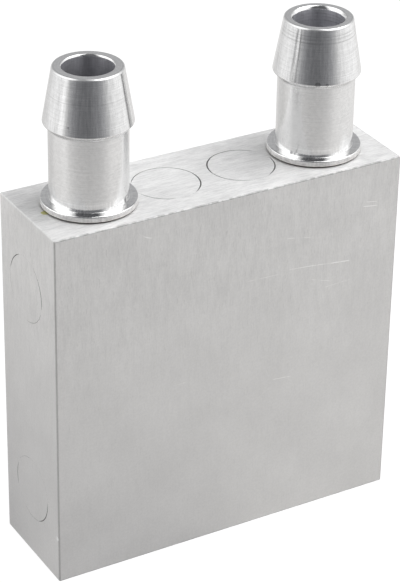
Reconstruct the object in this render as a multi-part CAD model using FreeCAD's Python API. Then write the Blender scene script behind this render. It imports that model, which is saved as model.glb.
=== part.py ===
import FreeCAD, Part
import math
import os

# Liquid cooling cold plate: a solid aluminium block with drilled coolant channels, two
# turned hose fittings pressed into its upper end, and flush plugs closing the drill holes.
#
# Lengths are in millimetres. X runs along the row of ports, Y through the thickness of the
# plate, with the front cooling face at -Y, and Z up towards the hose fittings. The origin
# is the middle of the block's lower end face.

# Block
block_width = 40.0
block_thickness = 12.0
block_height = 40.0
edge_break = 0.15  # chamfer on every outer edge of the block

# Drilled holes
port_inset = 6.9  # axes of the two outer upright holes, in from the block's ends
channel_d = 4.5  # coolant channel, upright or crossing
seat_d = 7.1  # wider mouth of each hole, which takes a plug or a fitting's spigot
seat_depth = 3.5
mouth_break = 0.06  # tiny chamfer round each mouth, and round each plug's outer face
drill_point_angle = 118.0
upper_gallery_drop = 8.3  # cross channel's axis below the upper end face
lower_gallery_rise = 8.1  # cross channel's axis above the lower end face
upper_gallery_offset = 0.5  # the upper cross channel lies slightly towards the back face
channel_overrun = 0.6  # how far a channel runs past the axis of the last one it meets

# Hose fitting, measured up from the block's upper end face
fitting_length = 14.7
flange_d = 10.2
flange_thickness = 0.6
root_fillet = 0.95  # hollow curve from the flange up to the shank
shank_d = 8.0
barb_d = 9.1
barb_back_start = 7.8  # where the barb starts to swell from the shank
barb_edge_height = 8.95  # the barb's sharpest and widest edge
nose_d = 7.2
nose_break = 0.33
bore_d = 5.1
bore_mouth_chamfer = 0.35

# Flow dividers, which turn the channels into one path through the block
divider_length = 3.0

# Derived places
port_count = 4
port_pitch = (block_width - 2 * port_inset) / (port_count - 1)
port_x = [(i - (port_count - 1) / 2) * port_pitch for i in range(port_count)]
upper_gallery_z = block_height - upper_gallery_drop
lower_gallery_z = lower_gallery_rise
left_face_x = -block_width / 2
point_length = channel_d / 2 / math.tan(math.radians(drill_point_angle / 2))
cutter_overrun = 1.0  # length of each cutter that stands clear outside the block

up = FreeCAD.Vector(0, 0, 1)
left = FreeCAD.Vector(-1, 0, 0)


def turned(profile):
    """Solid of revolution about Z from a closed profile of (radius, height) points."""
    points = [FreeCAD.Vector(r, 0, z) for r, z in profile]
    face = Part.Face(Part.makePolygon(points + points[:1]))
    return face.revolve(FreeCAD.Vector(0, 0, 0), up, 360)


def placed(shape, mouth, outward):
    """Move a shape made along Z so that its origin is at a mouth and +Z points outward."""
    shape.Placement = FreeCAD.Placement(mouth, FreeCAD.Rotation(up, outward))
    return shape


def hole_cutter(mouth, outward, depth):
    """Drilled channel with a conical end, and its wider seat at the mouth."""
    channel_r = channel_d / 2
    seat_r = seat_d / 2
    profile = [
        (0, -depth - point_length),
        (channel_r, -depth),
        (channel_r, -seat_depth),
        (seat_r, -seat_depth),
        (seat_r, -mouth_break),
        (seat_r + mouth_break, 0),
        (seat_r + mouth_break, cutter_overrun),
        (0, cutter_overrun),
    ]
    return placed(turned(profile), mouth, outward)


def port_mouth(index):
    return FreeCAD.Vector(port_x[index], 0, block_height)


def upper_mouth():
    return FreeCAD.Vector(left_face_x, upper_gallery_offset, upper_gallery_z)


def lower_mouth():
    return FreeCAD.Vector(left_face_x, 0, lower_gallery_z)


def gallery_depth(last_port):
    return port_x[last_port] + channel_overrun - left_face_x


def make_block():
    corner = FreeCAD.Vector(-block_width / 2, -block_thickness / 2, 0)
    block = Part.makeBox(block_width, block_thickness, block_height, corner)
    block = block.makeChamfer(edge_break, block.Edges)
    upright_depth = block_height - lower_gallery_z + channel_overrun
    cutters = [hole_cutter(port_mouth(i), up, upright_depth) for i in range(port_count)]
    # The upper cross channel stops at the third upright, the lower one at the fourth.
    cutters.append(hole_cutter(upper_mouth(), left, gallery_depth(2)))
    cutters.append(hole_cutter(lower_mouth(), left, gallery_depth(3)))
    return block.cut(cutters)


def make_plug(mouth, outward):
    """Flush plug that fills a seat from its shoulder to the face of the block."""
    seat_r = seat_d / 2
    profile = [
        (0, -seat_depth),
        (seat_r, -seat_depth),
        (seat_r, -mouth_break),
        (seat_r - mouth_break, 0),
        (0, 0),
    ]
    return placed(turned(profile), mouth, outward)


def make_divider(between, gallery_y, gallery_z):
    """Short plug inside a cross channel, midway between two neighbouring uprights."""
    r = channel_d / 2
    half = divider_length / 2
    profile = [(0, -half), (r, -half), (r, half), (0, half)]
    middle_x = (port_x[between] + port_x[between + 1]) / 2
    return placed(turned(profile), FreeCAD.Vector(middle_x, gallery_y, gallery_z), left)


def make_fitting(mouth):
    """Turned hose fitting: spigot, thin flange, hollow root, shank, and one long barb."""
    bore_r = bore_d / 2
    spigot_r = seat_d / 2
    flange_r = flange_d / 2
    shank_r = shank_d / 2
    nose_r = nose_d / 2
    fillet_top = flange_thickness + root_fillet
    arc_reach = root_fillet * (1 - math.sqrt(0.5))
    outer = [
        (bore_r, -seat_depth),
        (spigot_r, -seat_depth),
        (spigot_r, 0),
        (flange_r, 0),
        (flange_r, flange_thickness),
        (shank_r + root_fillet, flange_thickness),
    ]
    upper = [
        (shank_r, fillet_top),
        (shank_r, barb_back_start),
        (barb_d / 2, barb_edge_height),
        (nose_r, fitting_length - nose_break),
        (nose_r - nose_break, fitting_length),
        (bore_r + bore_mouth_chamfer, fitting_length),
        (bore_r, fitting_length - bore_mouth_chamfer),
        (bore_r, -seat_depth),
    ]
    lower_points = [FreeCAD.Vector(r, 0, z) for r, z in outer]
    upper_points = [FreeCAD.Vector(r, 0, z) for r, z in upper]
    arc_middle = FreeCAD.Vector(shank_r + arc_reach, 0, flange_thickness + arc_reach)
    root = Part.Arc(lower_points[-1], arc_middle, upper_points[0]).toShape()
    wire = Part.Wire([Part.makePolygon(lower_points), root, Part.makePolygon(upper_points)])
    fitting = Part.Face(wire).revolve(FreeCAD.Vector(0, 0, 0), up, 360)
    return placed(fitting, mouth, up)


subparts = {
    "block": make_block(),
    "inlet_fitting": make_fitting(port_mouth(0)),
    "outlet_fitting": make_fitting(port_mouth(3)),
    "left_top_plug": make_plug(port_mouth(1), up),
    "right_top_plug": make_plug(port_mouth(2), up),
    "upper_side_plug": make_plug(upper_mouth(), left),
    "lower_side_plug": make_plug(lower_mouth(), left),
    "upper_divider": make_divider(0, upper_gallery_offset, upper_gallery_z),
    "lower_divider": make_divider(1, 0, lower_gallery_z),
}

os.makedirs("parts", exist_ok=True)
for name, shape in subparts.items():
    solid = shape.Solids[0]
    print(name, "solids", len(shape.Solids), "valid", solid.isValid(), "volume", round(solid.Volume, 2))
    solid.exportStep("parts/" + name + ".step")
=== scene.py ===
import math

import bmesh
import bpy
import numpy as np
from mathutils import Matrix, Vector


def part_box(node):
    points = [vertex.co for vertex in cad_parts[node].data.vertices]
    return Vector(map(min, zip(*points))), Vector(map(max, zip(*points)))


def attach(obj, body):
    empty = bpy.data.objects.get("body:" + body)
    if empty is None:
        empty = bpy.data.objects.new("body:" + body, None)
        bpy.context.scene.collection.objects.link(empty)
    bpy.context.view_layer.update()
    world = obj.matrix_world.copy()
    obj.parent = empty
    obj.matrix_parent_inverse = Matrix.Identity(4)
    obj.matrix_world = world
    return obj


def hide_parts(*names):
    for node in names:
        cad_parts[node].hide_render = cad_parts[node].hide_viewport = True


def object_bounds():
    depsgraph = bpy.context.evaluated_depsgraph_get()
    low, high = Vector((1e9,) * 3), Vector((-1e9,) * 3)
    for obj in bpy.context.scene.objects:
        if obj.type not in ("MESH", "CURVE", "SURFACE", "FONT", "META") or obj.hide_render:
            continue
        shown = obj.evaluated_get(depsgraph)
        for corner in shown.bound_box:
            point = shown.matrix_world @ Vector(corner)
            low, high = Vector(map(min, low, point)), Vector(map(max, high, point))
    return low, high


# Liquid cooling cold plate: a brushed aluminium block, two bright turned hose fittings
# and four flush plugs. Lengths are in metres: X along the ports, -Y the front, +Z up.

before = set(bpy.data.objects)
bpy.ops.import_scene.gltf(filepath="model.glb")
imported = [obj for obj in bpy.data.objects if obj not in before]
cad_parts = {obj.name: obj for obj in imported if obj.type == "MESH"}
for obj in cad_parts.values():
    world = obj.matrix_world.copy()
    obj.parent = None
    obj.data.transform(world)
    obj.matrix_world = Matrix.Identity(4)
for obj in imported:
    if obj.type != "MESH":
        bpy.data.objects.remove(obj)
cadLow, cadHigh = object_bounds()
print("frame loaded with", len(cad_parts), "nodes")

mm = 0.001
scene = bpy.context.scene

blockLow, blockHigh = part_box("block")
plugLow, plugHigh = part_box("left_top_plug")
dividerLow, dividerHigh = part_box("lower_divider")
seatRadius = (plugHigh.x - plugLow.x) / 2
seatDepth = plugHigh.z - plugLow.z
channelRadius = (dividerHigh.z - dividerLow.z) / 2
topZ = blockHigh.z
leftX = blockLow.x
mergeDistance = 0.0001 * mm
noiseSpan = (0.3, 0.7)  # where nearly all values of a noise texture lie


# adds a node; sockets holds values or links by name or index, the rest are its settings
def put(tree, kind, sockets=None, **settings):
    made = tree.nodes.new(kind)
    for key, value in settings.items():
        setattr(made, key, value)
    for key, value in (sockets or {}).items():
        if isinstance(value, bpy.types.NodeSocket):
            tree.links.new(value, made.inputs[key])
        else:
            made.inputs[key].default_value = value
    return made


def maths(tree, operation, a, b=0.0, c=0.0):
    return put(tree, "ShaderNodeMath", {0: a, 1: b, 2: c}, operation=operation).outputs[0]


def times(tree, a, b):
    return maths(tree, "MULTIPLY", a, b)


def timesPlus(tree, a, b, c):
    return maths(tree, "MULTIPLY_ADD", a, b, c)


def minus(tree, a, b):
    return maths(tree, "SUBTRACT", a, b)


def divided(tree, a, b):
    return maths(tree, "DIVIDE", a, b)


def vectorMaths(tree, operation, a, b=(0, 0, 0)):
    return put(tree, "ShaderNodeVectorMath", {0: a, 1: b}, operation=operation).outputs


def separate(tree, vector):
    return put(tree, "ShaderNodeSeparateXYZ", {0: vector}).outputs


def combine(tree, x, y, z=0.0):
    return put(tree, "ShaderNodeCombineXYZ", {0: x, 1: y, 2: z}).outputs[0]


def noise(tree, where, scale, detail, roughness=0.5):
    sockets = {"Vector": where, "Scale": scale, "Detail": detail, "Roughness": roughness}
    return put(tree, "ShaderNodeTexNoise", sockets).outputs[0]


def remap(tree, value, low, high, toLow=0.0, toHigh=1.0, smooth=True):
    kind = "SMOOTHSTEP" if smooth else "LINEAR"
    sockets = {"Value": value, "From Min": low, "From Max": high, "To Min": toLow, "To Max": toHigh}
    return put(tree, "ShaderNodeMapRange", sockets, interpolation_type=kind).outputs["Result"]


# scales value by level where mask is 1 and leaves it as it is where mask is 0
def tinted(tree, value, mask, level):
    return times(tree, value, remap(tree, mask, 0, 1, 1.0, level, False))


# a factor that wanders by half to either side of 1 as value goes from low to high
def wander(tree, value, low, high, half):
    return remap(tree, value, low, high, 1 - half, 1 + half, False)


def mixColour(tree, factor, a, b):
    return put(tree, "ShaderNodeMix", {0: factor, 6: a, 7: b}, data_type="RGBA").outputs[2]


def grey(level):
    return (level, level, level, 1.0)


def newGroup(name, inputs, outputs):
    tree = bpy.data.node_groups.new(name, "ShaderNodeTree")
    for label, kind, value in inputs:
        made = tree.interface.new_socket(label, in_out="INPUT", socket_type=kind)
        if value is not None:
            made.default_value = value
    for label in outputs:
        tree.interface.new_socket(label, in_out="OUTPUT", socket_type="NodeSocketFloat")
    return tree, tree.nodes.new("NodeGroupInput").outputs, tree.nodes.new("NodeGroupOutput").inputs


def useGroup(tree, group, sockets):
    return put(tree, "ShaderNodeGroup", sockets, node_tree=group).outputs


# parts of a turned profile with a finish of their own; the darker tones given to the flange's foot, to
# the band under the barb with the nose's outer break, and to the bore are painted shade
zones = ("bore", "satin", "under", "nose", "footShadow", "rim", "polish")


# turns a profile mesh, whose points are (radius, 0, height), about Z into a closed solid
def latheTree():
    tree = bpy.data.node_groups.new("latheTree", "GeometryNodeTree")
    sockets = (
        ("Profile", "NodeSocketGeometry"),
        ("Points", "NodeSocketInt"),
        ("Steps", "NodeSocketInt"),
        ("Wrap Radius", "NodeSocketFloat"),
        ("Finish", "NodeSocketMaterial"),
    )
    for label, kind in sockets:
        tree.interface.new_socket(label, in_out="INPUT", socket_type=kind)
    tree.interface.new_socket("Solid", in_out="OUTPUT", socket_type="NodeSocketGeometry")
    given = tree.nodes.new("NodeGroupInput").outputs

    def sampled(value, row, kind="FLOAT"):
        sockets = {"Geometry": given["Profile"], "Value": value, "Index": row}
        node = put(tree, "GeometryNodeSampleIndex", sockets, data_type=kind, domain="POINT")
        return node.outputs[0]

    def named(label):
        node = put(tree, "GeometryNodeInputNamedAttribute", {"Name": label}, data_type="FLOAT")
        return node.outputs[0]

    def stored(geometry, label, value, domain="POINT", kind="FLOAT"):
        sockets = {"Geometry": geometry, "Name": label, "Value": value}
        node = put(tree, "GeometryNodeStoreNamedAttribute", sockets, data_type=kind, domain=domain)
        return node.outputs[0]

    # the grid's point number gives the profile point it stands for and how far round it is
    columns = maths(tree, "ADD", given["Steps"], 1.0)
    index = tree.nodes.new("GeometryNodeInputIndex").outputs[0]
    row = maths(tree, "FLOOR", divided(tree, maths(tree, "ADD", index, 0.5), columns))
    step = minus(tree, index, times(tree, row, columns))
    turn = times(tree, divided(tree, step, given["Steps"]), math.tau)

    place = tree.nodes.new("GeometryNodeInputPosition").outputs[0]
    point = separate(tree, sampled(place, row, "FLOAT_VECTOR"))
    x = times(tree, point[0], maths(tree, "COSINE", turn))
    y = times(tree, point[0], maths(tree, "SINE", turn))
    moved = combine(tree, x, y, point[2])

    size = {"Vertices X": given["Points"], "Vertices Y": columns}
    solid = put(tree, "GeometryNodeMeshGrid", size).outputs["Mesh"]
    for label in ("run",) + zones:
        solid = stored(solid, label, sampled(named(label), row))
    solid = stored(solid, "turn", turn)
    solid = put(tree, "GeometryNodeSetPosition", {"Geometry": solid, "Position": moved}).outputs[0]
    wrapped = combine(tree, named("run"), times(tree, named("turn"), given["Wrap Radius"]))
    solid = stored(solid, "grain", wrapped, "CORNER", "FLOAT2")
    sockets = {"Geometry": solid, "Distance": mergeDistance}
    solid = put(tree, "GeometryNodeMergeByDistance", sockets).outputs[0]
    solid = put(tree, "GeometryNodeRealizeInstances", {0: solid}).outputs[0]
    sockets = {"Geometry": solid, "Material": given["Finish"]}
    solid = put(tree, "GeometryNodeSetMaterial", sockets).outputs[0]
    tree.links.new(solid, tree.nodes.new("NodeGroupOutput").inputs[0])
    return tree


lathe = latheTree()


def linkObject(name, mesh):
    made = bpy.data.objects.new(name, mesh)
    scene.collection.objects.link(made)
    return made


# the object's evaluated mesh as plain data, with its modifiers gone
def settle(made):
    bpy.context.view_layer.update()
    evaluated = made.evaluated_get(bpy.context.evaluated_depsgraph_get())
    plain = bpy.data.meshes.new_from_object(evaluated)
    plain.name = made.name
    made.modifiers.clear()
    made.data = plain
    return plain


# profile is a closed loop of (radius, height, zone); its first point is repeated at the end
def turnPiece(name, profile, steps, wrapRadius, finish, where):
    loop = profile + profile[:1]
    points = [(r, 0, z) for r, z, zone in loop]
    edges = [(i, i + 1) for i in range(len(loop) - 1)]
    mesh = bpy.data.meshes.new(name)
    mesh.from_pydata(points, edges, [])
    lengths = [math.dist(a[:2], b[:2]) for a, b in zip(loop, loop[1:])]
    values = {"run": np.concatenate([[0], np.cumsum(lengths)])}
    for label in zones:
        values[label] = [float(zone == label) for r, z, zone in loop]
    for label, numbers in values.items():
        layer = mesh.attributes.new(label, "FLOAT", "POINT")
        layer.data.foreach_set("value", np.array(numbers, np.float32))
    made = linkObject(name, mesh)
    lathed = made.modifiers.new("lathe", "NODES")
    lathed.node_group = lathe
    given = {"Points": len(loop), "Steps": steps, "Wrap Radius": wrapRadius, "Finish": finish}
    for item in lathe.interface.items_tree:
        if item.name in given:
            lathed[item.identifier] = given[item.name]
    settle(made)
    outward(made.data)
    made.data.transform(where)
    return made


# closed shell: doubles merged, faces outward, smooth
def outward(mesh):
    work = bmesh.new()
    work.from_mesh(mesh)
    bmesh.ops.remove_doubles(work, verts=work.verts, dist=mergeDistance)
    bmesh.ops.recalc_face_normals(work, faces=work.faces)
    for face in work.faces:
        face.smooth = True
    work.to_mesh(mesh)
    work.free()


# flat faces keep their own normals and the rounded edges blend between them
def weighNormals(made, sharpAngle):
    made.data.set_sharp_from_angle(angle=math.radians(sharpAngle))
    weighted = made.modifiers.new("weighted", "WEIGHTED_NORMAL")
    weighted.keep_sharp = True
    weighted.weight = 100
    settle(made)


# swaps each sharp corner of a loop of (radius, height, zone, rounding) for a short arc
def roundCorners(corners, pieces=4):
    points = []
    for i, (r, z, zone, rounding) in enumerate(corners):
        here = Vector((r, z))
        if rounding == 0:
            points.append((r, z, zone))
            continue
        before = Vector(corners[i - 1][:2]) - here
        after = Vector(corners[(i + 1) % len(corners)][:2]) - here
        start = here + before.normalized() * rounding
        end = here + after.normalized() * rounding
        for k in range(pieces + 1):
            t = k / pieces
            spot = start * (1 - t) ** 2 + here * 2 * t * (1 - t) + end * t ** 2
            points.append((spot.x, spot.y, zone))
    return points


# lines left by an abrasive or a lathe tool; the vector is in metres, X across the lines and Y along
def grainGroup():
    inputs = [
        ("Vector", "NodeSocketVector", None),
        ("Line Width", "NodeSocketFloat", 0.15 * mm),
        ("Line Length", "NodeSocketFloat", 8 * mm),
        ("Patch Size", "NodeSocketFloat", 9 * mm),
    ]
    tree, given, out = newGroup("metalGrain", inputs, ("Fine", "Broad", "Patch"))
    place = separate(tree, given["Vector"])

    def lines(widthShare, lengthShare, detail, offset):
        across = divided(tree, place[0], times(tree, given["Line Width"], widthShare))
        along = divided(tree, place[1], times(tree, given["Line Length"], lengthShare))
        return noise(tree, combine(tree, across, along, offset), 1.0, detail, 0.6)

    fine = lines(widthShare=1.0, lengthShare=1.0, detail=3.0, offset=0.0)
    broad = lines(widthShare=4.5, lengthShare=2.2, detail=2.0, offset=7.0)
    patch = noise(tree, given["Vector"], divided(tree, 1.0, given["Patch Size"]), 3.0)
    for label, value in (("Fine", fine), ("Broad", broad), ("Patch", patch)):
        tree.links.new(remap(tree, value, *noiseSpan), out[label])
    return tree


# one long fine scratch: part of a circle drawn on the X-Z plane, faded at its ends
def scratchGroup():
    inputs = [
        ("Position", "NodeSocketVector", None),
        ("Middle X", "NodeSocketFloat", 0.0),
        ("Middle Z", "NodeSocketFloat", 0.0),
        ("Reach", "NodeSocketFloat", 5 * mm),
        ("Slope", "NodeSocketFloat", 0.0),
        ("Sag", "NodeSocketFloat", 0.0),
        ("Width", "NodeSocketFloat", 0.05 * mm),
    ]
    fadeStart = 0.7  # share of its half length where a scratch begins to fade
    gapScale = 900.0  # fineness of the gaps along it
    faintest = 0.15  # how much of it shows in a gap
    frontSkin = 0.02 * mm  # it shows only this close to the front face
    tree, given, out = newGroup("scratchLine", inputs, ("Mask",))
    place = separate(tree, given["Position"])
    x = minus(tree, place[0], given["Middle X"])
    z = minus(tree, place[2], given["Middle Z"])
    share = divided(tree, x, given["Reach"])
    bow = times(tree, times(tree, share, share), given["Sag"])
    line = timesPlus(tree, x, given["Slope"], bow)
    away = maths(tree, "ABSOLUTE", minus(tree, z, line))
    core = minus(tree, 1.0, divided(tree, away, given["Width"]))
    core = put(tree, "ShaderNodeClamp", {0: core}).outputs[0]
    ends = remap(tree, maths(tree, "ABSOLUTE", share), 1.0, fadeStart)
    gaps = remap(tree, noise(tree, given["Position"], gapScale, 2.0), 0.35, 0.6, faintest, 1.0)
    front = maths(tree, "LESS_THAN", place[1], cadLow.y + frontSkin)
    tree.links.new(times(tree, times(tree, core, ends), times(tree, gaps, front)), out["Mask"])
    return tree


# a soft blot round one spot, with a ragged rim
def blotGroup():
    inputs = [
        ("Position", "NodeSocketVector", None),
        ("Spot", "NodeSocketVector", None),
        ("Radius", "NodeSocketFloat", 0.4 * mm),
        ("Raggedness", "NodeSocketFloat", 0.5),
        ("Fineness", "NodeSocketFloat", 2500.0),
    ]
    fullShare = 0.75  # shares of the radius between which the blot fades away
    goneShare = 1.15
    tree, given, out = newGroup("blot", inputs, ("Mask",))
    away = vectorMaths(tree, "DISTANCE", given["Position"], given["Spot"])["Value"]
    share = divided(tree, away, given["Radius"])
    ragged = minus(tree, noise(tree, given["Position"], given["Fineness"], 2.0), 0.5)
    share = timesPlus(tree, ragged, given["Raggedness"], share)
    tree.links.new(remap(tree, share, goneShare, fullShare), out["Mask"])
    return tree


metalGrain = grainGroup()
scratchLine = scratchGroup()
blot = blotGroup()


def newMaterial(name):
    made = bpy.data.materials.new(name)
    made.use_nodes = True
    tree = made.node_tree
    tree.nodes.clear()
    shader = put(tree, "ShaderNodeBsdfPrincipled", {"Metallic": 1.0})
    output = tree.nodes.new("ShaderNodeOutputMaterial")
    tree.links.new(shader.outputs[0], output.inputs[0])
    return made, tree, shader.inputs


def attribute(tree, label):
    return put(tree, "ShaderNodeAttribute", attribute_name=label).outputs["Fac"]


# scales value in each zone of a turned piece by the level given for it
def zoned(tree, value, levels):
    for zone, level in levels:
        value = tinted(tree, value, attribute(tree, zone), level)
    return value


def spotMask(tree, position, spot, radius, raggedness):
    sockets = {"Position": position, "Spot": spot, "Radius": radius, "Raggedness": raggedness}
    return useGroup(tree, blot, sockets)["Mask"]


# the sheen along the grain, and the grain's relief
def addGrain(tree, shader, look, relief):
    shader["Anisotropic"].default_value = look["anisotropic"]
    tangent = put(tree, "ShaderNodeTangent", direction_type="UV_MAP", uv_map="grain")
    tree.links.new(tangent.outputs[0], shader["Tangent"])
    bump = put(tree, "ShaderNodeBump", {"Height": relief, "Distance": look["groove"], "Strength": 1.0})
    tree.links.new(bump.outputs[0], shader["Normal"])


brushed = {
    "colour": 0.795,
    # painted warm light: the sides are tinted warmer than the upper end
    "warmLight": 0.006,
    "topWarmLight": 0.0021,  # the same on the upper end
    "blueShare": 1.6,  # how much more the blue falls than the red rises
    "lineWidth": 0.16 * mm,
    "lineLength": 1.6 * mm,
    "patchSize": 7 * mm,
    "patches": 0.028,  # how much the tone wanders over the faces
    "lineContrast": 0.10,
    "broadShare": 0.5,  # strength of the broad lines against the fine ones
    "wornStart": 0.3,  # share of the height from which the grain deepens upward
    "wornGain": (0.30, 1.25),  # how deep it is there and at the top
    "topContrast": 1.75,  # how much stronger the grain shows on the upper end
    "topSkin": 0.1 * mm,  # how far under the upper end its own tone begins
    "strokes": 0.12,  # how dark the odd deeper brush stroke is
    "strokeStart": 0.78,  # grain value from which a line is a deeper stroke
    "speckle": 0.05,
    "speckScale": 4200.0,
    "roughness": 0.58,
    "roughSpread": 0.06,
    "metallic": 0.6,
    "anisotropic": 0.5,
    "groove": 0.0009 * mm,
    "scratchGain": 0.42,
    "scratchRelief": 0.8,
    "uprightLevel": 0.73,  # tone of the front upright edge
    "edgeTones": (0.58, 0.88),  # darkest and brightest parts of the ragged edges
    "edgeToneSpan": (0.40, 0.62),  # noise values that give them
    "edgeToneScale": 1300.0,
    "litEdgeLevel": 0.98,
    "litEdgeMatt": 0.6,  # how much of its metallic look the lit edge loses
    # painted shade on the walls inside the holes
    "holeWallShade": 0.45,
    "blockSeam": 0.55,
    "plugSeam": 0.24,
    "nickSpot": (-20.0 * mm, -5.7 * mm, 5.25 * mm),  # where a knock left the front edge bright
    "nickRadius": 0.24 * mm,
    "nickRaggedness": 1.2,
    "nickLevel": 0.98,
    "sealantSpot": (-18.02 * mm, -0.1 * mm, 40.0 * mm),
    "sealantRadius": 0.44 * mm,
    "sealantRaggedness": 1.0,
    "sealantRoughness": 0.2,  # added to the metal's
    "sealantColour": (0.46, 0.45, 0.19, 1.0),
}

# each scratch on the front: middle X, middle Z, half length, slope, sag, half width and strength
scratches = [
    (10.35, 29.73, 4.1, -0.11, -0.1, 0.06, 0.7),
    (12.6, 29.45, 1.9, -0.11, 0.0, 0.08, 1.0),
    (3.7, 29.9, 2.1, -0.03, 0.0, 0.05, 0.4),
    (10.8, 27.8, 1.3, -0.33, 0.0, 0.06, 0.5),
    (12.9, 26.9, 1.7, 0.04, 0.0, 0.06, 0.5),
    (6.4, 17.2, 1.2, -0.1, 0.0, 0.06, 0.5),
    (16.5, 35.1, 1.0, -0.15, 0.0, 0.07, 0.8),
    (16.7, 35.55, 0.7, -0.17, 0.0, 0.06, 0.7),
    (7.9, 33.5, 1.6, -0.2, 0.0, 0.09, 0.35),
    (-10.0, 38.05, 0.8, -0.55, 0.15, 0.07, 0.7),
    (-6.0, 20.0, 0.8, 0.0, 0.0, 0.05, 0.4),
]


# how strongly any scratch shows at a point of the front
def scratchMarks(tree, position):
    marks = 0.0
    for middleX, middleZ, reach, slope, sag, width, strength in scratches:
        sockets = {
            "Position": position,
            "Middle X": middleX * mm,
            "Middle Z": middleZ * mm,
            "Reach": reach * mm,
            "Slope": slope,
            "Sag": sag * mm,
            "Width": width * mm,
        }
        mask = useGroup(tree, scratchLine, sockets)["Mask"]
        marks = maths(tree, "MAXIMUM", marks, times(tree, mask, strength))
    return marks


# brushed faces of the block and the plugs ground flush with them
def brushedAluminium(name, seamLevel):
    made, tree, shader = newMaterial(name)
    position = put(tree, "ShaderNodeTexCoord").outputs["Object"]
    grainMap = put(tree, "ShaderNodeUVMap", uv_map="grain").outputs[0]
    sizes = {
        "Vector": grainMap,
        "Line Width": brushed["lineWidth"],
        "Line Length": brushed["lineLength"],
        "Patch Size": brushed["patchSize"],
    }
    grain = useGroup(tree, metalGrain, sizes)
    height = separate(tree, position)[2]
    topStart = topZ - brushed["topSkin"]
    worn = remap(tree, height, brushed["wornStart"] * topZ, topZ, *brushed["wornGain"])
    upward = remap(tree, height, topStart, topZ, 1.0, brushed["topContrast"])
    contrast = times(tree, times(tree, worn, upward), brushed["lineContrast"])
    lines = timesPlus(tree, grain["Broad"], brushed["broadShare"], grain["Fine"])
    lines = minus(tree, lines, (1 + brushed["broadShare"]) / 2)
    shade = timesPlus(tree, lines, contrast, 1.0)
    deeper = remap(tree, grain["Fine"], brushed["strokeStart"], 1.0, 0.0, brushed["strokes"])
    shade = minus(tree, shade, times(tree, deeper, worn))
    speck = noise(tree, position, brushed["speckScale"], 2.0)
    shade = times(tree, shade, wander(tree, speck, *noiseSpan, brushed["speckle"] / 2))
    shade = times(tree, shade, wander(tree, grain["Patch"], 0, 1, brushed["patches"]))
    shade = times(tree, shade, brushed["colour"])
    marks = scratchMarks(tree, position)
    shade = timesPlus(tree, marks, brushed["scratchGain"], shade)

    # the other rounded edges are darkened in a ragged way by noise
    ragged = noise(tree, position, brushed["edgeToneScale"], 3.0)
    edgeTone = remap(tree, ragged, *brushed["edgeToneSpan"], *brushed["edgeTones"])
    lit = attribute(tree, "litEdge")
    shade = tinted(tree, shade, attribute(tree, "darkenedEdge"), edgeTone)
    shade = tinted(tree, shade, attribute(tree, "uprightEdge"), brushed["uprightLevel"])
    shade = tinted(tree, shade, lit, brushed["litEdgeLevel"])
    shade = tinted(tree, shade, attribute(tree, "seam"), seamLevel)
    # painted shade inside the holes
    shade = tinted(tree, shade, attribute(tree, "inside"), brushed["holeWallShade"])

    # painted warm light, fainter on the upper end
    warmLight = remap(tree, height, topStart, topZ, brushed["warmLight"], brushed["topWarmLight"], False)
    red = timesPlus(tree, shade, warmLight, shade)
    blue = timesPlus(tree, times(tree, shade, -brushed["blueShare"]), warmLight, shade)
    colour = put(tree, "ShaderNodeCombineColor", {0: red, 1: shade, 2: blue}).outputs[0]
    knock = [brushed[key] for key in ("nickSpot", "nickRadius", "nickRaggedness")]
    nick = spotMask(tree, position, *knock)
    colour = mixColour(tree, nick, colour, grey(brushed["nickLevel"]))
    smear = [brushed[key] for key in ("sealantSpot", "sealantRadius", "sealantRaggedness")]
    stain = spotMask(tree, position, *smear)
    colour = mixColour(tree, stain, colour, brushed["sealantColour"])
    tree.links.new(colour, shader["Base Color"])

    smoothest = brushed["roughness"] - brushed["roughSpread"]
    roughest = brushed["roughness"] + brushed["roughSpread"]
    rough = remap(tree, grain["Fine"], 0, 1, smoothest, roughest, False)
    tree.links.new(timesPlus(tree, stain, brushed["sealantRoughness"], rough), shader["Roughness"])
    matt = maths(tree, "MAXIMUM", stain, times(tree, lit, brushed["litEdgeMatt"]))
    tree.links.new(remap(tree, matt, 0, 1, brushed["metallic"], 0.0, False), shader["Metallic"])
    addGrain(tree, shader, brushed, timesPlus(tree, marks, brushed["scratchRelief"], grain["Fine"]))
    return made


turned = {
    "colour": 0.90,
    "lineWidth": 0.10 * mm,
    "lineLength": 6 * mm,
    "scuffWidth": 0.20 * mm,
    "scuffLength": 2.0 * mm,
    "darkest": 0.87,  # tone in the deepest tool line or scuff
    "calm": 0.94,  # even tone that the satin shank tends to
    "calmShare": 0.45,  # how far its tool lines do; its scuffs do so twice as far
    # painted contact shadow: the flange's foot is made dark and brownish by its level, red and blue
    "zoneLevels": [("under", 0.92), ("nose", 1.09), ("polish", 1.06), ("footShadow", 0.10)],
    "zoneReds": [("footShadow", 1.15), ("rim", 1.015)],
    # the bore's blue is raised as part of its painted shade
    "zoneBlues": [("bore", 1.05), ("footShadow", 0.85), ("rim", 0.985)],
    "speckle": 0.08,
    "speckScale": 3200.0,
    "mottle": 0.18,  # how dark the blotches on the flange's rim are
    "mottleSpan": (0.62, 0.38),  # noise values from clean metal to the darkest
    "mottleScale": 1300.0,
    "ringSpan": (0.4, 1.0),  # how much of a tool ring shows where faintest and where clearest
    "blotRaggedness": 1.2,
    "brightRoughness": 0.155,
    "satinRoughness": 0.21,
    "scuffRoughness": 0.05,
    "zoneRoughness": [("polish", -0.045), ("bore", 0.30), ("rim", 0.30), ("under", 0.12)],  # added
    "rimMetallic": 0.30,
    "anisotropic": 0.5,
    "groove": 0.0004 * mm,
    "scuffRelief": 0.5,  # depth of the scuffs against the tool lines
}

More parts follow.
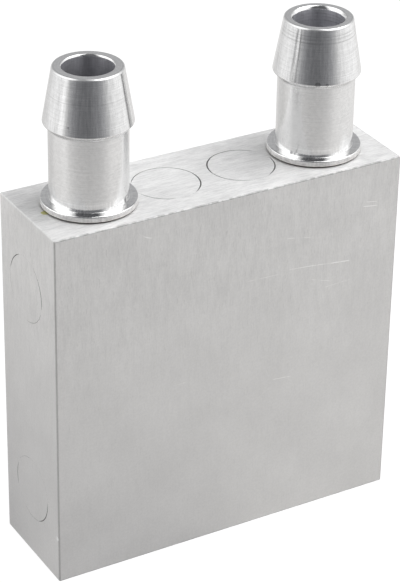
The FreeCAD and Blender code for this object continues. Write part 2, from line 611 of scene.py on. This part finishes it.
# marks of each fitting in mm: tool rings as (height, half width, depth), and small spots as
# (x, y, z, radius, how much lighter)
inletMarks = {
    "rings": [(52.2, 0.12, 0.10)],
    "spots": [
        (-14.0, -4.8, 40.35, 0.22, 0.25),
        (-14.6, -4.0, 49.6, 0.14, -0.3),
        (-16.6, -2.6, 49.9, 0.12, -0.3),
    ],
    # painted shade inside the bore, set for each fitting
    "boreShade": 0.74,
}
outletMarks = {
    "rings": [(53.95, 0.12, 0.22), (53.62, 0.16, 0.18), (53.25, 0.13, 0.24)],
    "spots": [(10.8, -3.9, 49.1, 0.30, -0.35), (11.6, -4.3, 49.1, 0.20, -0.3)],
    # painted shade inside the bore, set for each fitting
    "boreShade": 0.88,
}


# bright turned metal with tool rings round it and short scuffs along it
def turnedAluminium(name, marks):
    made, tree, shader = newMaterial(name)
    position = put(tree, "ShaderNodeTexCoord").outputs["Object"]
    grainMap = put(tree, "ShaderNodeUVMap", uv_map="grain").outputs[0]
    sizes = {"Vector": grainMap, "Line Width": turned["lineWidth"], "Line Length": turned["lineLength"]}
    tool = useGroup(tree, metalGrain, sizes)
    swapped = separate(tree, grainMap)
    along = combine(tree, swapped[1], swapped[0])
    sizes = {"Vector": along, "Line Width": turned["scuffWidth"], "Line Length": turned["scuffLength"]}
    scuff = useGroup(tree, metalGrain, sizes)

    satin = maths(tree, "MAXIMUM", attribute(tree, "satin"), attribute(tree, "under"))
    calmShare = times(tree, satin, turned["calmShare"])
    calm = grey(turned["calm"])
    lines = remap(tree, tool["Fine"], 0, 1, turned["darkest"], 1.0, False)
    lines = mixColour(tree, calmShare, lines, calm)
    scuffs = remap(tree, scuff["Fine"], 0, 1, turned["darkest"], 1.0, False)
    scuffs = mixColour(tree, times(tree, calmShare, 2.0), scuffs, calm)
    shade = times(tree, lines, scuffs)
    speck = noise(tree, position, turned["speckScale"], 2.0)
    shade = times(tree, shade, wander(tree, speck, *noiseSpan, turned["speckle"] / 2))

    height = separate(tree, position)[2]
    clear = remap(tree, scuff["Broad"], 0.2, 0.8, *turned["ringSpan"], False)
    for ringHeight, halfWidth, depth in marks["rings"]:
        away = maths(tree, "ABSOLUTE", minus(tree, height, ringHeight * mm))
        ring = times(tree, remap(tree, away, halfWidth * mm, 0.0, 0.0, depth), clear)
        shade = times(tree, shade, minus(tree, 1.0, ring))
    for x, y, z, radius, gain in marks["spots"]:
        where = (x * mm, y * mm, z * mm)
        spot = spotMask(tree, position, where, radius * mm, turned["blotRaggedness"])
        shade = timesPlus(tree, spot, gain, shade)
    shade = times(tree, shade, turned["colour"])
    # the bore's tone is painted shade
    shade = zoned(tree, shade, turned["zoneLevels"] + [("bore", marks["boreShade"])])
    rim = attribute(tree, "rim")
    mottle = noise(tree, position, turned["mottleScale"], 4.0)
    mottle = times(tree, rim, remap(tree, mottle, *turned["mottleSpan"], 0.0, turned["mottle"]))
    shade = times(tree, shade, minus(tree, 1.0, mottle))
    red = zoned(tree, shade, turned["zoneReds"])
    blue = zoned(tree, shade, turned["zoneBlues"])
    colour = put(tree, "ShaderNodeCombineColor", {0: red, 1: shade, 2: blue})
    tree.links.new(colour.outputs[0], shader["Base Color"])

    rough = remap(tree, satin, 0, 1, turned["brightRoughness"], turned["satinRoughness"], False)
    rough = timesPlus(tree, minus(tree, scuff["Fine"], 0.5), turned["scuffRoughness"], rough)
    for zone, extra in turned["zoneRoughness"]:
        rough = timesPlus(tree, attribute(tree, zone), extra, rough)
    tree.links.new(rough, shader["Roughness"])
    tree.links.new(remap(tree, rim, 0, 1, 1.0, turned["rimMetallic"], False), shader["Metallic"])
    addGrain(tree, shader, turned, timesPlus(tree, scuff["Fine"], turned["scuffRelief"], tool["Fine"]))
    return made


blockFinish = brushedAluminium("brushedBlock", brushed["blockSeam"])
plugFinish = brushedAluminium("groundPlug", brushed["plugSeam"])
inletFinish = turnedAluminium("turnedInlet", inletMarks)
outletFinish = turnedAluminium("turnedOutlet", outletMarks)
print("materials made")


block = {
    "edge": 0.15 * mm,  # rounding of the outer edges
    "edgeSteps": 3,
    "mouthBreak": 0.005 * mm,  # tiny chamfer round each drilled mouth
    "channelOverrun": 0.6 * mm,
    "pointAngle": 118.0,
    "cutterOverrun": 1 * mm,
    "steps": 160,
    "sharpAngle": 50,  # degrees; a wider bend than this stays sharp
}


def middle(node):
    low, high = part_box(node)
    return (low + high) / 2


portNodes = ("inlet_fitting", "left_top_plug", "right_top_plug", "outlet_fitting")
ports = [middle(node).x for node in portNodes]
upperGallery = middle("upper_side_plug")
lowerGallery = middle("lower_side_plug")
facingLeft = Matrix.Rotation(-math.pi / 2, 4, "Y")


def placing(mouth, sideways=False):
    return Matrix.Translation(mouth) @ (facingLeft if sideways else Matrix.Identity(4))


def portMouth(index):
    return Vector((ports[index], 0, topZ))


# a drilled hole with its wider seat, as a solid to cut away; it stands mouth up at the origin
def cutter(name, depth, where):
    tip = channelRadius / math.tan(math.radians(block["pointAngle"] / 2))
    lip = block["mouthBreak"]
    over = block["cutterOverrun"]
    profile = [
        (0, -depth - tip, ""),
        (channelRadius, -depth, ""),
        (channelRadius, -seatDepth, ""),
        (seatRadius, -seatDepth, ""),
        (seatRadius, -lip, ""),
        (seatRadius + lip + over, over, ""),
        (0, over, ""),
    ]
    return turnPiece(name, profile, block["steps"], seatRadius, None, where)


def marked(mesh, label, numbers):
    layer = mesh.attributes.new(label, "FLOAT", "FACE")
    layer.data.foreach_set("value", np.array(numbers, np.float32))


# grain coordinates in metres for flat faces: X across the brushing and Y along it
def mapGrain(mesh):
    layer = mesh.uv_layers.get("grain") or mesh.uv_layers.new(name="grain")
    for polygon in mesh.polygons:
        n = [abs(v) for v in polygon.normal]
        for corner in polygon.loop_indices:
            p = mesh.vertices[mesh.loops[corner].vertex_index].co
            if n[2] >= max(n[0], n[1]):
                layer.data[corner].uv = (p.y, p.x)
            elif n[1] >= n[0]:
                layer.data[corner].uv = (p.x, p.z)
            else:
                layer.data[corner].uv = (p.y, p.z)


# a face of the tiny chamfer round a mouth: how deep it lies, and how far its normal faces out
def onLip(depth, facing):
    surface = 0.001 * mm  # less deep than this, a face belongs to the flat outside
    return surface < depth < block["mouthBreak"] and 0.3 < facing < 0.95


# marks the holes' lips and walls, and the rounded edges by the way they face
def mapFaces(mesh):
    edge = block["edge"]
    flat = 0.995  # largest part of a normal from which its face counts as flat
    level = 0.1  # smallest part of a normal that counts as a tilt
    faces = {"seam": [], "inside": [], "litEdge": [], "uprightEdge": [], "darkenedEdge": []}
    for polygon in mesh.polygons:
        c = polygon.center
        n = polygon.normal
        underTop = topZ - c.z
        pastLeft = c.x - leftX
        inward = min(underTop, pastLeft, blockHigh.y - abs(c.y), blockHigh.x - c.x, c.z)
        betweenSides = abs(c.y) < blockHigh.y - edge
        topLip = onLip(underTop, n.z) and betweenSides and abs(c.x) < blockHigh.x - edge
        leftLip = onLip(pastLeft, -n.x) and betweenSides and edge < c.z < topZ - edge
        lip = topLip or leftLip
        inside = inward > edge
        rounded = max(abs(n.x), abs(n.y), abs(n.z)) < flat and not lip and not inside
        lit = n.x < -level and n.z > level and abs(n.y) < level
        upright = abs(n.z) < level
        faces["seam"].append(lip)
        faces["inside"].append(inside)
        faces["litEdge"].append(rounded and lit)
        faces["uprightEdge"].append(rounded and upright)
        faces["darkenedEdge"].append(rounded and not lit and not upright)
    for label, numbers in faces.items():
        marked(mesh, label, numbers)


def makeBlock():
    work = bmesh.new()
    bmesh.ops.create_cube(work, size=1)
    size = blockHigh - blockLow
    for v in work.verts:
        share = v.co + Vector((0.5, 0.5, 0.5))
        v.co = blockLow + Vector((share.x * size.x, share.y * size.y, share.z * size.z))
    rounding = {"offset": block["edge"], "segments": block["edgeSteps"], "profile": 0.5}
    bmesh.ops.bevel(work, geom=work.edges[:], affect="EDGES", **rounding)
    mesh = bpy.data.meshes.new("block_body")
    work.to_mesh(mesh)
    work.free()
    made = linkObject("block_body", mesh)
    mesh.materials.append(blockFinish)
    cutters = []
    depth = topZ - lowerGallery.z + block["channelOverrun"]
    for i in range(len(ports)):
        cutters.append(cutter(f"upright_{i}", depth, placing(portMouth(i))))
    # each cross channel runs from the left end to just past its last upright
    for gallery, lastPort, name in ((upperGallery, 2, "upper_cut"), (lowerGallery, 3, "lower_cut")):
        mouth = Vector((leftX, gallery.y, gallery.z))
        depth = ports[lastPort] + block["channelOverrun"] - leftX
        cutters.append(cutter(name, depth, placing(mouth, sideways=True)))
    for tool in cutters:
        hole = made.modifiers.new(tool.name, "BOOLEAN")
        hole.operation = "DIFFERENCE"
        hole.solver = "EXACT"
        hole.object = tool
    mesh = settle(made)
    for tool in cutters:
        bpy.data.objects.remove(tool)
    outward(mesh)
    mapGrain(mesh)
    mapFaces(mesh)
    weighNormals(made, block["sharpAngle"])
    return made


blockBody = makeBlock()
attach(blockBody, "root")
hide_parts("block")
print("block made with", len(blockBody.data.polygons), "faces")


plug = {
    "steps": 240,
    "sharpAngle": 25,
    "closed": 0.002 * mm,  # seam where the metal was smeared shut by the sanding
    # open stretches of each seam: where round it, how far to each side, and how wide in mm
    "left_top_plug": [
        (-20, 42, 0.14),
        (30, 40, 0.09),
        (80, 44, 0.08),
        (125, 26, 0.10),
        (225, 34, 0.07),
    ],
    "right_top_plug": [
        (150, 40, 0.15),
        (85, 50, 0.11),
        (-32, 36, 0.13),
        (215, 45, 0.08),
    ],
    "upper_side_plug": [
        (50, 28, 0.09),
        (103, 26, 0.03),
        (-74, 28, 0.09),
        (-42, 12, 0.03),
        (-145, 36, 0.035),
    ],
    "lower_side_plug": [
        (88, 24, 0.085),
        (-122, 38, 0.095),
        (178, 28, 0.035),
        (25, 30, 0.015),
    ],
}


def seamWidth(node, turn):
    width = plug["closed"]
    for middleTurn, spread, widest in plug[node]:
        away = abs((turn - middleTurn + 180) % 360 - 180) / spread
        if away < 1:
            width = max(width, widest * mm * (1 - away ** 4))
    return width


# flush plug whose outer edge is broken more where its seam stands open
def makePlug(node, mouth, sideways=False):
    shallow = plug["closed"]
    profile = [
        (0, -seatDepth, ""),
        (seatRadius, -seatDepth, ""),
        (seatRadius, -shallow, ""),
        (seatRadius - shallow, 0, ""),
        (0, 0, ""),
    ]
    disc = node + "_disc"
    made = turnPiece(disc, profile, plug["steps"], seatRadius, plugFinish, Matrix.Identity(4))
    mesh = made.data
    for v in mesh.vertices:
        radius = math.hypot(v.co.x, v.co.y)
        if radius < seatRadius / 2 or v.co.z < -seatDepth / 2:
            continue
        width = seamWidth(node, math.degrees(math.atan2(v.co.y, v.co.x)))
        if v.co.z < -shallow / 2:
            v.co.z = -width
        else:
            v.co.x *= (seatRadius - width) / radius
            v.co.y *= (seatRadius - width) / radius
    mesh.update()
    marked(mesh, "seam", [0.2 < p.normal.z < 0.95 for p in mesh.polygons])
    mesh.transform(placing(mouth, sideways))
    mapGrain(mesh)
    weighNormals(made, plug["sharpAngle"])
    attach(made, "root")
    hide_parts(node)


makePlug("left_top_plug", portMouth(1))
makePlug("right_top_plug", portMouth(2))
for node, gallery in (("upper_side_plug", upperGallery), ("lower_side_plug", lowerGallery)):
    makePlug(node, Vector((leftX, gallery.y, gallery.z)), sideways=True)
print("plugs made")


fitting = {
    "length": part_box("inlet_fitting")[1].z - topZ,
    "flangeRadius": 4.88 * mm,
    "flangeThickness": 0.76 * mm,
    "flangeRound": 0.13 * mm,
    "rootFillet": 0.05 * mm,
    "polished": 0.8 * mm,  # how far the mirror finish of the flange runs up the shank
    "polishFade": 0.32 * mm,
    "shankRadius": 4.0 * mm,
    "barbStart": 8.5 * mm,
    "barbEdge": 8.95 * mm,
    "barbRadius": 4.55 * mm,
    "noseRadius": 3.57 * mm,
    "noseBreak": 0.13 * mm,
    "footBreak": 0.15 * mm,
    "boreRadius": 2.55 * mm,
    "inletChamfer": 0.14 * mm,
    "outletChamfer": 0.28 * mm,
    "barbRound": 0.10 * mm,
    "cornerBlend": 0.12 * mm,  # where the barb's back runs into the shank
    "softEdge": 0.05 * mm,  # how far the lathe tool broke each sharp edge
    "steps": 192,
    "sharpAngle": 50,
}


# corners of the turned shape as (radius, height above the block, zone, rounding), from the
# hidden end of the bore round the outside and back into the bore
def fittingProfile(chamfer):
    f = fitting
    soft = f["softEdge"]
    top = f["length"]
    shank = f["shankRadius"]
    thickness = f["flangeThickness"]
    polishEnd = thickness + f["polished"]
    rimLow = 1.25 * f["footBreak"]  # the rim's own finish lies between these heights
    rimHigh = thickness - 1.5 * f["flangeRound"]
    lean = 0.35 * soft  # the barb's slope over its last stretch under the nose
    boreEdge = f["boreRadius"] + chamfer
    corners = [
        (f["boreRadius"], -seatDepth, "bore", 0),
        (seatRadius, -seatDepth, "", 0),
        # the flange's foot, where a painted contact shadow goes
        (seatRadius, 0, "footShadow", 0),
        (f["flangeRadius"] - f["footBreak"], 0, "footShadow", 0),
        (f["flangeRadius"], f["footBreak"], "footShadow", 0),
        (f["flangeRadius"], rimLow, "rim", 0),
        (f["flangeRadius"], rimHigh, "rim", 0),
        (f["flangeRadius"], thickness, "polish", f["flangeRound"]),
        (shank, thickness, "polish", f["rootFillet"]),
        (shank, polishEnd, "polish", 0),
        (shank, polishEnd + f["polishFade"], "satin", 0),
        (shank, f["barbStart"] - 2 * f["cornerBlend"], "satin", 0),
        # under: a slightly darker painted shade below the barb, and again at the nose's outer break
        (shank, f["barbStart"], "under", f["cornerBlend"]),
        (f["barbRadius"], f["barbEdge"], "", f["barbRound"]),
        (f["noseRadius"] + lean, top - f["noseBreak"] - 2 * soft, "", 0),
        (f["noseRadius"], top - f["noseBreak"], "under", soft),
        (f["noseRadius"] - f["noseBreak"], top, "under", soft),
        (f["noseRadius"] - 2 * f["noseBreak"], top, "nose", 0),
        (boreEdge + 2 * soft, top, "nose", 0),
        (boreEdge, top, "", 0.6 * soft),
        (f["boreRadius"], top - chamfer, "", 0),
        (f["boreRadius"], top - chamfer - soft, "bore", 0),
    ]
    return roundCorners(corners)


def makeFitting(node, port, finish, chamfer):
    profile = fittingProfile(chamfer)
    where = placing(portMouth(port))
    steps = fitting["steps"]
    made = turnPiece(node + "_turned", profile, steps, fitting["shankRadius"], finish, where)
    weighNormals(made, fitting["sharpAngle"])
    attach(made, "root")
    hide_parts(node)


makeFitting("inlet_fitting", 0, inletFinish, fitting["inletChamfer"])
makeFitting("outlet_fitting", 3, outletFinish, fitting["outletChamfer"])
print("fittings made")

# sealed inside the block, so they keep their CAD shape
for node in ("upper_divider", "lower_divider"):
    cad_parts[node].data.materials.clear()
    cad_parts[node].data.materials.append(plugFinish)


camera = {
    "azimuth": -30.2733,
    "elevation": 29.1807,
    "roll": 1.0072,
    "distance": 247.2084 * mm,
    "sideways": -0.1805 * mm,
    "lift": -0.5677 * mm,
    "aimHeight": 27 * mm,
    "lens": 146.72,
    "sensor": 36.0,
    "nearest": 10 * mm,
    "farthest": 10.0,
}


# unit vector toward a place at this turn round the object and this rise, both in radians
def towards(turn, rise):
    flat = math.cos(rise)
    return Vector((math.sin(turn) * flat, -math.cos(turn) * flat, math.sin(rise)))


def makeCamera():
    turn = math.radians(camera["azimuth"])
    roll = math.radians(camera["roll"])
    back = towards(turn, math.radians(camera["elevation"]))
    right = Vector((math.cos(turn), math.sin(turn), 0))
    up = back.cross(right)
    aim = right * camera["sideways"] + up * camera["lift"] + Vector((0, 0, camera["aimHeight"]))
    rolledRight = right * math.cos(roll) + up * math.sin(roll)
    rolledUp = up * math.cos(roll) - right * math.sin(roll)
    data = bpy.data.cameras.new("camera")
    data.lens = camera["lens"]
    data.sensor_width = camera["sensor"]
    data.clip_start = camera["nearest"]
    data.clip_end = camera["farthest"]
    made = linkObject("camera", data)
    facing = Matrix((rolledRight, rolledUp, back)).transposed().to_4x4()
    made.matrix_world = Matrix.Translation(aim + back * camera["distance"]) @ facing
    scene.camera = made


studio = {
    "strength": 1.0,
    "coolDark": 0.035,  # how blue the dark side of the room is
    "darkBelow": 0.6,  # brightness under which a wall counts as dark
    # brightness by angle round the object from the camera's side, left to right
    "horizon": [
        (-180, 0.92),
        (-162, 0.92),
        (-150, 0.83),
        (-141, 0.76),
        (-126, 0.88),
        (-108, 0.97),
        (-92, 1.02),
        (-84, 0.92),
        (-77, 0.95),
        (-68, 1.20),
        (-61, 1.00),
        (-55, 0.62),
        (-48, 0.41),
        (-40, 0.30),
        (-30, 0.215),
        (-20, 0.17),
        (-4, 0.155),
        (6, 0.16),
        (16, 0.20),
        (28, 0.24),
        (40, 0.36),
        (50, 0.51),
        (62, 0.79),
        (74, 0.91),
        (88, 1.01),
        (104, 1.07),
        (124, 1.10),
        (140, 0.98),
        (154, 0.86),
        (180, 0.90),
    ],
    "upper": [
        (-180, 0.46),
        (-155, 0.46),
        (-135, 0.65),
        (-115, 1.45),
        (-60, 1.60),
        (-50, 0.95),
        (-42, 0.40),
        (-32, 0.20),
        (28, 0.20),
        (38, 0.40),
        (50, 1.00),
        (62, 1.40),
        (115, 1.40),
        (135, 0.75),
        (155, 0.46),
        (180, 0.46),
    ],
    "high": [
        (-180, 0.16),
        (-150, 0.20),
        (-125, 1.00),
        (-105, 1.80),
        (-60, 1.80),
        (-47, 0.90),
        (-36, 0.11),
        (32, 0.11),
        (44, 0.90),
        (60, 1.80),
        (110, 1.80),
        (130, 1.00),
        (155, 0.20),
        (180, 0.16),
    ],
    "sheet": [
        (-180, 0.80),
        (-120, 0.63),
        (-96, 0.82),
        (-60, 0.86),
        (-30, 0.73),
        (0, 0.69),
        (30, 0.74),
        (60, 0.85),
        (100, 0.86),
        (140, 0.83),
        (180, 0.80),
    ],
    # painted shadow: the floor's glow close round the object's foot
    "footShadow": [
        (-180, 0.50),
        (-150, 0.22),
        (-120, 0.06),
        (-90, 0.26),
        (-60, 0.48),
        (0, 0.48),
        (60, 0.67),
        (120, 0.65),
        (180, 0.50),
    ],
    # sines of the heights between which one part of the walls blends into the next
    "upperBlend": (0.02, 0.22),
    "highBlend": (0.48, 0.60),
    "ceilingBlend": (0.92, 0.97),
    "ceiling": 0.5,
}


# angle round the object from the camera's side, as a share of a full turn from 0 to 1
def turnShare(tree, direction):
    turn = math.radians(camera["azimuth"])
    toCamera = (math.sin(turn), -math.cos(turn), 0)
    toRight = (math.cos(turn), math.sin(turn), 0)
    ahead = vectorMaths(tree, "DOT_PRODUCT", direction, toCamera)["Value"]
    side = vectorMaths(tree, "DOT_PRODUCT", direction, toRight)["Value"]
    return timesPlus(tree, maths(tree, "ARCTAN2", side, ahead), 1 / math.tau, 0.5)


def wallRamp(tree, share, walls, warmLight=0.0):
    ramp = put(tree, "ShaderNodeValToRGB", {0: share})
    stops = ramp.color_ramp.elements
    while len(stops) > 1:
        stops.remove(stops[-1])
    for i, (angle, level) in enumerate(walls):
        stop = stops[0] if i == 0 else stops.new(angle / 360 + 0.5)
        stop.position = angle / 360 + 0.5
        cool = studio["coolDark"] * max(0, 1 - level / studio["darkBelow"])
        red = level * (1 + warmLight - cool / 2)
        blue = level * (1 - warmLight + 2 * cool)
        stop.color = (red, level, blue, 1)
    return ramp.outputs[0]


def makeWorld():
    world = bpy.data.worlds.new("studio")
    scene.world = world
    world.use_nodes = True
    tree = world.node_tree
    tree.nodes.clear()
    direction = put(tree, "ShaderNodeTexCoord").outputs["Generated"]
    share = turnShare(tree, direction)
    height = separate(tree, direction)[2]
    light = wallRamp(tree, share, studio["horizon"])
    for walls, blend in (("upper", "upperBlend"), ("high", "highBlend")):
        above = wallRamp(tree, share, studio[walls])
        light = mixColour(tree, remap(tree, height, *studio[blend]), light, above)
    ceiling = grey(studio["ceiling"])
    light = mixColour(tree, remap(tree, height, *studio["ceilingBlend"]), light, ceiling)
    seen = put(tree, "ShaderNodeLightPath").outputs["Is Camera Ray"]
    shown = mixColour(tree, seen, light, grey(1.0))
    background = put(tree, "ShaderNodeBackground", {0: shown, 1: studio["strength"]})
    output = tree.nodes.new("ShaderNodeOutputWorld")
    tree.links.new(background.outputs[0], output.inputs[0])


floor = {
    "radius": 1.5,
    "segments": 96,
    "footReach": 80 * mm,  # how far the painted shadow round the object's foot reaches
    "fadeStart": 30 * mm,  # where the sheet begins to take the brightness of the room
    "fadeEnd": 240 * mm,
    "glow": 1.06,
    "warmLight": 0.014,
    "shadowShare": 0.12,  # how much of the soft shadow shows on the white floor
}


def makeFloor():
    work = bmesh.new()
    segments = floor["segments"]
    bmesh.ops.create_circle(work, cap_ends=True, segments=segments, radius=floor["radius"])
    mesh = bpy.data.meshes.new("floor")
    work.to_mesh(mesh)
    work.free()
    made = linkObject("floor", mesh)
    finish = bpy.data.materials.new("paleFloor")
    finish.use_nodes = True
    tree = finish.node_tree
    tree.nodes.clear()
    place = put(tree, "ShaderNodeTexCoord").outputs["Object"]
    share = turnShare(tree, place)
    # distance from the block's outline
    past = vectorMaths(tree, "ABSOLUTE", place)[0]
    past = vectorMaths(tree, "SUBTRACT", past, (blockHigh.x, blockHigh.y, 0.0))[0]
    past = vectorMaths(tree, "MAXIMUM", past)[0]
    away = vectorMaths(tree, "LENGTH", past)["Value"]
    # for all but camera rays the floor glows: its tone by angle is painted light that stands for the
    # lit floor, and the darker tone near the foot is a painted shadow
    near = remap(tree, away, 0.0, floor["footReach"], 0.0, 1.0, False)
    footShadow = wallRamp(tree, share, studio["footShadow"], floor["warmLight"])
    sheet = wallRamp(tree, share, studio["sheet"], floor["warmLight"])
    room = wallRamp(tree, share, studio["horizon"])
    fade = remap(tree, away, floor["fadeStart"], floor["fadeEnd"])
    tone = mixColour(tree, fade, mixColour(tree, near, footShadow, sheet), room)
    lit = put(tree, "ShaderNodeEmission", {0: tone}).outputs[0]
    pale = put(tree, "ShaderNodeBsdfDiffuse", {0: grey(1.0)}).outputs[0]
    glow = put(tree, "ShaderNodeEmission", {0: grey(floor["glow"])}).outputs[0]
    shown = put(tree, "ShaderNodeMixShader", {0: floor["shadowShare"], 1: glow, 2: pale}).outputs[0]
    seen = put(tree, "ShaderNodeLightPath").outputs["Is Camera Ray"]
    mixed = put(tree, "ShaderNodeMixShader", {0: seen, 1: lit, 2: shown}).outputs[0]
    output = tree.nodes.new("ShaderNodeOutputMaterial")
    tree.links.new(mixed, output.inputs[0])
    mesh.materials.append(finish)


softbox = {
    "azimuth": 100.0,  # from the camera's side, to the right
    "elevation": 66.0,
    "distance": 0.5,
    "size": 0.42,
    "power": 1.15,
}


def makeSoftbox():
    turn = math.radians(camera["azimuth"] + softbox["azimuth"])
    away = towards(turn, math.radians(softbox["elevation"]))
    data = bpy.data.lights.new("softbox", "AREA")
    data.size = softbox["size"]
    data.energy = softbox["power"]
    made = linkObject("softbox", data)
    place = away * softbox["distance"] + Vector((0, 0, topZ / 2))
    facing = away.to_track_quat("Z", "Y").to_matrix().to_4x4()
    made.matrix_world = Matrix.Translation(place) @ facing


makeCamera()
makeWorld()
makeFloor()
makeSoftbox()
scene.view_settings.view_transform = "Standard"
print("studio made")
